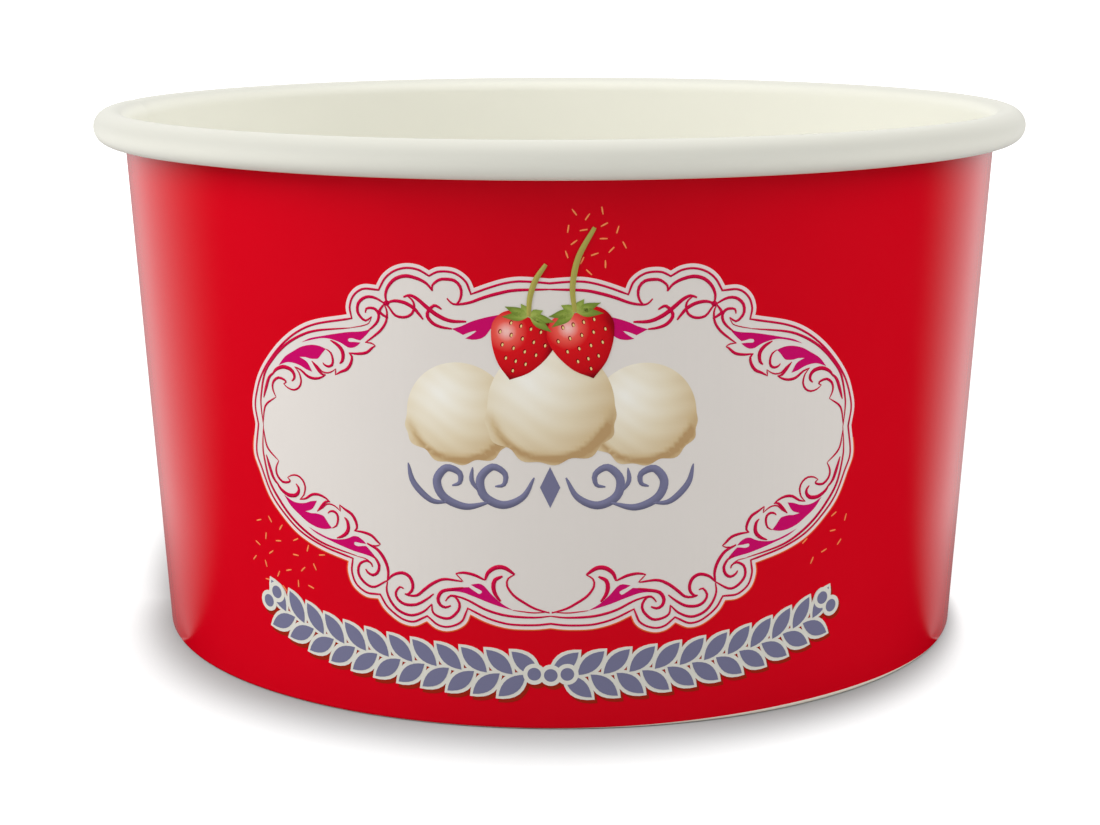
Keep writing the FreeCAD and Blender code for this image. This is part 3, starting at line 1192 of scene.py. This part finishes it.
# %% Inks of the strawberries
berry_ink = airbrushed("berry_ink", [
    (0.0, colour(255, 214, 206)),
    (0.13, colour(244, 96, 84)),
    (0.26, colour(222, 16, 26)),
    (0.62, colour(196, 2, 18)),
    (1.0, colour(112, 0, 14)),
])
cap_ink = airbrushed("berry_cap_ink", [
    (0.0, colour(186, 200, 104)),
    (0.5, colour(136, 158, 64)),
    (1.0, colour(84, 104, 36)),
])
seed_ink = finish_of("seed_ink", colour(244, 214, 140))
pit_ink = finish_of("seed_pit_ink", colour(138, 0, 14))
stalk_ink = finish_of("berry_stalk_ink", colour(176, 168, 84))
print("materials:", len(bpy.data.materials))


# %% Shape and tone of a strawberry
def strawberry(centre, size, lean):
    """Outline and tone of a strawberry, and a way to place points on it."""
    c, s = math.cos(lean), math.sin(lean)

    def at(x, y):
        return Vector((centre[0] + size * (x * c - y * s), centre[1] + size * (x * s + y * c)))

    def shade(spot):
        dx, dy = (spot[0] - centre[0]) / size, (spot[1] - centre[1]) / size
        x, y = dx * c + dy * s, dy * c - dx * s
        rim = eased(3.4 * (math.hypot(x / 1.0, (y + 0.1) / 1.12) - 0.66))
        return 0.42 * math.hypot(dx + 0.42, dy - 0.34) + 0.34 * rim * eased(0.7 + dx - dy)

    flank = [(0, -1.15), (0.5, -0.75), (0.86, -0.15), (0.95, 0.4), (0.62, 0.82), (0, 0.8)]
    right = [at(x, y) for x, y in flank]
    left = [at(-x, y) for x, y in flank[::-1]]
    return shape(right, left), shade, at


def leaflet(root, tip, half_width):
    """Outline and tone of one leaflet of the cap, paler along its middle."""
    way = (tip - root).normalized()
    side = Vector((-way.y, way.x)) * half_width
    middle = root.lerp(tip, 0.42)

    def shade(spot):
        off = Vector((spot[0], spot[1])) - root
        return 0.30 * off.length + 0.9 * abs(off.x * way.y - off.y * way.x)

    return shape([root, middle - side, tip], [tip, middle + side, root]), shade


print("helpers: strawberry, leaflet")

# %% Strawberries
berries = [
    ("left", (-2.5, 10.0), 3.0, math.radians(-17)),
    ("right", (2.9, 10.3), 3.1, math.radians(15)),
]
seed_rows = ((0.5, 4, 0.30), (0.15, 5, 0.34), (-0.2, 4, 0.34), (-0.55, 3, 0.30), (-0.85, 1, 0.3))
berry_net = 0.3
cap_height = 0.84
cap_turns = (-112, -68, -24, 24, 68, 112)
leaflet_width = 0.40
pit_size = (0.15, 0.22)
seed_size = (0.09, 0.15)
seed_shift = Vector((0.03, -0.03))
leaflets = []
for number, (side, centre, size, lean) in enumerate(berries):
    name = side + "_berry"
    top = berry_top + berry_lift * number
    body, shade, at = strawberry(centre, size, lean)
    ink_field(name, [body], top, berry_ink, berry_net, [shade])
    spots = [at((i - (count - 1) / 2) * gap, row)
             for row, count, gap in seed_rows for i in range(count)]
    pits = [ring_of(p, *pit_size, lean, 12) for p in spots]
    ink_field(name + "_pits", pits, top + pit_lift, pit_ink)
    seeds = [ring_of(p + seed_shift, *seed_size, lean, 10) for p in spots]
    ink_field(name + "_seeds", seeds, top + seed_lift, seed_ink)
    for turn_by in cap_turns:
        a = math.radians(90 + turn_by)
        tip = at(0.82 * math.cos(a), cap_height + 0.42 * math.sin(a) - 0.10)
        leaflets.append(leaflet(at(0, cap_height), tip, leaflet_width))

# %% Caps and stalks
outlines, cap_shades = zip(*leaflets)
ink_field("berry_caps", outlines, cap_top, cap_ink, berry_net, cap_shades)
stalks = [
    swelling([(-1.8, 12.4), (-1.7, 14.0), (-1.2, 15.6), (-0.3, 17.0)], 0.50, 0.65),
    swelling([(2.2, 12.8), (2.0, 15.0), (2.5, 17.6), (3.9, 20.2)], 0.52, 0.65),
]
pen_strokes("berry_stalks", stalks, stalk_top, stalk_ink)

# %% [markdown]
# ## Flourish under the picture
# Where a label has its words, this one has a penman's flourish in the same slate ink: a
# lozenge in the middle and two running scrolls to each side.

# %% Slate flourish
scrolls = [
    (0.80, [(1.4, -2.2), (2.4, -4.0), (4.2, -4.8), (5.9, -4.0), (6.2, -2.4), (5.1, -1.3),
            (4.0, -1.9), (4.1, -2.9), (4.9, -3.1)]),
    (0.80, [(5.4, -4.6), (7.6, -5.1), (9.6, -4.3), (10.2, -2.8), (9.3, -1.6), (8.1, -2.0),
            (8.1, -2.9), (8.8, -3.2)]),
    (0.60, [(9.2, -4.8), (10.8, -4.7), (12.4, -3.2), (12.9, -1.4)]),
    (0.42, [(6.4, -3.6), (7.0, -2.6), (6.9, -1.4)]),
]
pointed = 0.16
flourish = [swelling(mirrored(points, across, 1), width, pointed)
            for across in (1, -1) for width, points in scrolls]
pen_strokes("slate_flourish", flourish, slate_top, slate_ink)

# %% Lozenge
low, right, high, left = (0, -5.0), (0.9, -3.1), (0, -1.2), (-0.9, -3.1)
lozenge = shape([low, right], [right, high], [high, left], [left, low])
ink_field("slate_lozenge", [lozenge], slate_top, slate_ink)

# %% [markdown]
# ## Garland below the cartouche
# A garland of leaves hangs in an arc under the cartouche. Each leaf is slate with a pale
# edge and a warm shadow. A leaf repeats along a line, so one tree makes them all: it
# places a leaf shape at even steps, turns it left and right in turn, away from the middle,
# and makes the three layers from the same points.

# %% Tree for the garland
wreath, given, wanted = new_tree(
    "leaf_garland",
    "GeometryNodeTree",
    [
        ("Geometry", "Geometry", None),
        ("Leaf length", "Float", 3.3 * mm),
        ("Leaf width", "Float", 0.72 * mm),
        ("Spacing", "Float", 1.18 * mm),
        ("Spread", "Float", math.radians(42)),
        ("Edging", "Float", 0.35 * mm),
        ("Shadow shift", "Vector", (0.25 * mm, -0.35 * mm, 0)),
        ("Leaf ink", "Material", None),
        ("Edge ink", "Material", None),
        ("Shadow ink", "Material", None),
    ],
    [("Geometry", "Geometry")],
)
stem = add(wreath, "GeometryNodeMeshToCurve", {0: given["Geometry"]})
evenly = {0: stem.outputs[0], "Length": given["Spacing"]}
spots = add(wreath, "GeometryNodeCurveToPoints", evenly, mode="LENGTH")
print("inputs of the garland:", len(given) - 1)

# %% Heading of each leaf
run_x, run_y, _ = parts_of(wreath, spots.outputs["Tangent"])
here_x = parts_of(wreath, position(wreath))[0]
half_turn = calc(wreath, "MULTIPLY", calc(wreath, "LESS_THAN", here_x, 0.0), math.pi)
number = add(wreath, "GeometryNodeInputIndex").outputs[0]
odd = calc(wreath, "FLOORED_MODULO", number, 2.0)
aside = calc(wreath, "MULTIPLY", calc(wreath, "MULTIPLY_ADD", odd, 2.0, -1.0), given["Spread"])
outwards = calc(wreath, "ADD", half_turn, aside)
heading = calc(wreath, "ADD", calc(wreath, "ARCTAN2", run_y, run_x), outwards)
facing = vector(wreath, z=heading)
print("nodes so far:", len(wreath.nodes))


# %% One layer of leaves
def leaf_blade(grown):
    """A flat leaf that points along x, grown all round by an edging."""
    lattice = {"Size X": 2.0, "Size Y": 2.0, "Vertices X": 9, "Vertices Y": 3}
    sheet = add(wreath, "GeometryNodeMeshGrid", lattice)
    u, v, _ = parts_of(wreath, position(wreath))
    middle = calc(wreath, "MULTIPLY", given["Leaf length"], 0.5)
    half_length = calc(wreath, "MULTIPLY_ADD", given["Leaf length"], 0.5, grown)
    half_width = calc(wreath, "ADD", given["Leaf width"], grown)
    belly = calc(wreath, "SUBTRACT", 1.0, calc(wreath, "MULTIPLY", u, u))
    along = calc(wreath, "MULTIPLY_ADD", u, half_length, middle)
    across = calc(wreath, "MULTIPLY", calc(wreath, "MULTIPLY", v, belly), half_width)
    blade = move(wreath, sheet.outputs[0], vector(wreath, along, across))
    welded = {0: blade, "Distance": 0.001 * mm}
    return add(wreath, "GeometryNodeMergeByDistance", welded).outputs[0]


def leaf_layer(grown, top, ink, shift=None):
    """One layer of the garland: a leaf on every point, pressed on the cup."""
    raised = {0: leaf_blade(grown), "Offset": (0, 0, 1), "Offset Scale": (top - ink_foot) * mm}
    solid = add(wreath, "GeometryNodeExtrudeMesh", {**raised, "Individual": False})
    placed = {0: spots.outputs[0], "Instance": solid.outputs[0], "Rotation": facing}
    many = add(wreath, "GeometryNodeInstanceOnPoints", placed)
    real = add(wreath, "GeometryNodeRealizeInstances", {0: many.outputs[0]})
    pressed = {0: shift, 1: (0, 0, ink_foot * mm)}
    lowered = add(wreath, "ShaderNodeVectorMath", pressed, operation="ADD").outputs[0]
    moved = add(wreath, "GeometryNodeSetPosition", {0: real.outputs[0], "Offset": lowered})
    return coat(wreath, bend_on(wreath, moved.outputs[0]), ink)


print("helpers: leaf_blade, leaf_layer")

# %% The three layers together
layers = add(wreath, "GeometryNodeJoinGeometry")
for layer in (
    leaf_layer(0.0, garland_top, given["Leaf ink"]),
    leaf_layer(given["Edging"], leaf_edge_top, given["Edge ink"]),
    leaf_layer(given["Edging"], shadow_top, given["Shadow ink"], given["Shadow shift"]),
):
    wreath.links.new(layer, layers.inputs[0])
feed(wreath, wanted["Geometry"], layers.outputs[0])
print("garland tree nodes:", len(wreath.nodes))

# %% Garland
arc_line = through([
    (-26.8, -17.9), (-20.0, -19.7), (-10.0, -20.6), (0.0, -20.9),
    (10.0, -20.6), (19.0, -19.7), (25.8, -18.1),
])
edging_ink = finish_of("edging_ink", colour(226, 224, 214))
garland = grow(
    "leaf_garland",
    [(p.x * mm, p.y * mm, 0) for p in arc_line],
    [(i, i + 1) for i in range(len(arc_line) - 1)],
    [],
    wreath,
    {"Leaf ink": slate_ink, "Edge ink": edging_ink, "Shadow ink": shade_ink},
)
fit_on_cup(garland)

# %% Buds in the middle and at the ends of the garland
bud_r = 0.62
bud_edge_r = 1.02
bud_shadow_r = 1.05
bud_shift = (0.25, -0.35)
buds = [(-29.0, -17.3), (-27.9, -16.2)]
buds += [(0.0, -20.9), (-1.5, -20.8), (1.5, -20.8)]
buds += [(28.0, -17.3), (26.9, -16.3)]
shifted = [(x + bud_shift[0], y + bud_shift[1]) for x, y in buds]
shadows = [ring_of(p, bud_shadow_r, bud_shadow_r) for p in shifted]
ink_field("bud_shadows", shadows, shadow_top, shade_ink)
ink_field("bud_edges", [ring_of(p, bud_edge_r, bud_edge_r) for p in buds], bud_edge_top, edging_ink)
ink_field("buds", [ring_of(p, bud_r, bud_r) for p in buds], bud_top, slate_ink)

# %% Sparks
golden_turn = 2.4
dash_half = 0.34
dash_pen = [0.11, 0.15, 0.09]


def spark_ring(centre, reach, count):
    """Short dashes scattered round a point, spread by the golden angle."""
    dashes = []
    for i in range(count):
        a, r = golden_turn * i, reach * math.sqrt((i + 1.5) / count)
        at = Vector((centre[0] + r * math.cos(a), centre[1] + r * math.sin(a)))
        way = Vector((math.cos(a + 0.9 * i), math.sin(a + 0.9 * i))) * dash_half
        dashes.append(([at - way, at, at + way], dash_pen))
    return dashes


sparks = spark_ring((3.8, 19.2), 2.9, 16)
sparks += spark_ring((-26.4, -12.0), 4.6, 26)
sparks += spark_ring((26.8, -9.9), 3.0, 10)
pen_strokes("orange_sparks", sparks, spark_top, spark_ink)

# %% [markdown]
# ## Camera
# The camera stands where the photograph was taken from: a short way off, a little above
# the rim, looking down by twelve degrees. Its place and lens come from fitting the rim,
# the wall and the foot of this cup to the picture.

# %% Which way the camera looks
pitch = 0.2080
roll = -0.0022
yaw = -0.0044
ahead = Vector((math.sin(yaw) * math.cos(pitch), math.cos(yaw) * math.cos(pitch), -math.sin(pitch)))
level = ahead.cross(Vector((0, 0, 1))).normalized()
upward = level.cross(ahead)
right = level * math.cos(roll) + upward * math.sin(roll)
upward = upward * math.cos(roll) - level * math.sin(roll)
turned = Matrix((right, upward, -ahead)).transposed()
print("camera looks along", [round(v, 3) for v in ahead])

# %% Camera
distance = 231.85
eye_height = 69.68
lens = 71.75
camera_data = bpy.data.cameras.new("camera")
camera_data.sensor_width = 36
camera_data.lens = lens
camera_data.clip_start = 0.01
camera = bpy.data.objects.new("camera", camera_data)
bpy.context.scene.collection.objects.link(camera)
camera.matrix_world = Matrix.Translation(Vector((0, -distance, eye_height)) * mm) @ turned.to_4x4()
bpy.context.scene.camera = camera
print("camera at", [round(v, 3) for v in camera.location])

# %% [markdown]
# ## Studio
# The cup stands on a plain white table in front of a white backdrop, and the studio behind
# the camera is dark. A glossy wall therefore stays deep red in the middle and turns pale
# towards both edges, where it mirrors the backdrop and the table's painted glow. The table
# is white to the camera, and round the foot that white fades out in a painted soft shadow,
# where the lamps' own shadow shows through. The glow of the table and of the world is for
# the camera and the mirror image alone, so neither is sampled as a lamp. Four soft lamps
# give the light, and they are kept out of the mirror image.

# %% Table
table_reach = 12.0
corners = [(-1, -1), (1, -1), (1, 1), (-1, 1)]
table_mesh = bpy.data.meshes.new("table")
spots = [(x * table_reach, y * table_reach, 0) for x, y in corners]
table_mesh.from_pydata(spots, [], [(0, 1, 2, 3)])
table = bpy.data.objects.new("table", table_mesh)
bpy.context.scene.collection.objects.link(table)

white = bpy.data.materials.new("white_table")
white.use_nodes = True
white.cycles.emission_sampling = "NONE"
table_mesh.materials.append(white)
tree = white.node_tree
surface = tree.nodes["Principled BSDF"]
surface.inputs["Roughness"].default_value = 0.9
surface.inputs["Specular IOR Level"].default_value = 0.0
surface.inputs["Emission Color"].default_value = (1, 1, 1, 1)
side_x, side_y, _ = parts_of(tree, object_place(tree))
from_axis = length_of(tree, side_x, side_y)
print("table reaches", table_reach, "m")

# %% [markdown]
# The soft shadow is painted: the table's own white is held back round the foot, and the
# lamps' real shadow on the table shows there. It starts just under the foot and fades
# outwards, slowly in front and fast at the sides. Behind the cup, where the photograph
# doesn't show the table, it ends in an oval that is longer than the foot and leans to the
# left.

# %% Painted shadow on the table
shadow_foot = 41.2
fade_side = 4.2
fade_to_right = -1.7
fade_front = 10.0
behind_left = 0.21
behind_longer = -0.42
near_white = 0.62
far_from, far_to = 100, 500
far_white = 0.5

# painted shadow: the table's white is held back in this oval round the foot
behind = calc(tree, "MAXIMUM", side_y, 0.0)
shade_x = calc(tree, "MULTIPLY_ADD", behind, behind_left, side_x)
shade_y = calc(tree, "MULTIPLY_ADD", behind, behind_longer, side_y)
shade_r = length_of(tree, shade_x, shade_y)
front_share = calc(tree, "POWER", calc(tree, "DIVIDE", shade_y, shade_r), 2.0)
right_share = calc(tree, "DIVIDE", shade_x, shade_r)
fade = calc(tree, "MULTIPLY_ADD", right_share, fade_to_right * mm, fade_side * mm)
fade = calc(tree, "MULTIPLY_ADD", front_share, fade_front * mm, fade)
clear = calc(tree, "DIVIDE", calc(tree, "SUBTRACT", shade_r, shadow_foot * mm), fade)
far = ramp(tree, from_axis, far_from * mm, far_to * mm, 0.0, far_white)
seen_white = calc(tree, "ADD", ramp(tree, clear, 0.0, 1.0, 0.0, near_white), far)
print("shadow fades over", fade_side, "mm at the sides and", fade_side + fade_front, "mm in front")

# %% [markdown]
# The table glows for mirror rays alone, so what the glossy wall shows of it is a painted
# reflection. It is pale only beside and behind the cup, where it meets the backdrop, and
# that pales the wall towards its edges. The wash starts earlier on the left than on the
# right, and it is weaker straight back and near the foot, where it holds a painted shade of
# the cup's shadow.

# %% Painted white of the table in the mirror image
wash_side = 40.0
wash_front = 16.0
half_span = 60.0
left_start, right_start = 0.02, 0.24
wash_full = 0.80
straight_back = 0.42
foot_from, foot_to = 42.0, 80.0
foot_wash = 0.45
left_wash, right_wash = 0.95, 1.05

# painted reflection: the table's glow for mirror rays, shaped round the cup and darker near its
# foot
past_side = calc(tree, "SUBTRACT", calc(tree, "ABSOLUTE", side_x), wash_side * mm)
past_edge = calc(tree, "ADD", side_y, wash_front * mm)
toward_back = calc(tree, "DIVIDE", past_edge, length_of(tree, past_side, past_edge))
span = (-half_span * mm, half_span * mm)
start = ramp(tree, side_x, *span, left_start, right_start)
mirrored_white = ramp(tree, toward_back, start, wash_full)
for share in (
    ramp(tree, toward_back, wash_full, 1.0, 1.0, straight_back),
    ramp(tree, from_axis, foot_from * mm, foot_to * mm, foot_wash, 1.0),
    ramp(tree, side_x, *span, left_wash, right_wash),
):
    mirrored_white = calc(tree, "MULTIPLY", mirrored_white, share)
print("table nodes:", len(tree.nodes))

# %% Finish of the table
lit_white = 0.5
rays = add(tree, "ShaderNodeLightPath").outputs
seen = calc(tree, "MULTIPLY", rays["Is Camera Ray"], seen_white)
glow = calc(tree, "ADD", seen, calc(tree, "MULTIPLY", rays["Is Glossy Ray"], mirrored_white))
feed(tree, surface.inputs["Emission Strength"], glow)
feed(tree, surface.inputs["Base Color"], choose(tree, rays["Is Glossy Ray"], lit_white, 0.0))
print("table nodes:", len(tree.nodes))

# %% World
room_light = 0.56
backdrop_from, backdrop_to = 0.45, 0.85
world = bpy.data.worlds.new("studio")
bpy.context.scene.world = world
world.use_nodes = True
world.cycles.sampling_method = "NONE"
tree = world.node_tree
back = tree.nodes["Background"]
back.inputs["Color"].default_value = (1, 1, 1, 1)
way = parts_of(tree, add(tree, "ShaderNodeTexCoord").outputs["Generated"])
rays = add(tree, "ShaderNodeLightPath").outputs
backdrop = ramp(tree, way[1], backdrop_from, backdrop_to)
unseen = choose(tree, rays["Is Glossy Ray"], room_light, backdrop)
feed(tree, back.inputs["Strength"], choose(tree, rays["Is Camera Ray"], unseen, 1.0))
print("room light", room_light)

# %% Lamps
cup_middle = Vector((0, 0, 0.03))


def softbox(name, place, size, power):
    """A square soft lamp that looks at the middle of the cup."""
    data = bpy.data.lights.new(name, "AREA")
    data.energy = power
    data.size = size
    lamp = bpy.data.objects.new(name, data)
    bpy.context.scene.collection.objects.link(lamp)
    lamp.location = place
    lamp.visible_glossy = False
    lamp.rotation_euler = (cup_middle - Vector(place)).to_track_quat("-Z", "Y").to_euler()
    print(name, power, "W")


softbox("left_softbox", (-0.47, -0.14, 0.34), 0.35, 2.1)
softbox("right_softbox", (0.47, -0.12, 0.36), 0.35, 1.35)
softbox("front_softbox", (0.0, -0.60, 0.16), 0.30, 0.24)
softbox("overhead_softbox", (0.14, 0.26, 0.56), 0.30, 0.85)
bpy.context.scene.view_settings.view_transform = "Standard"
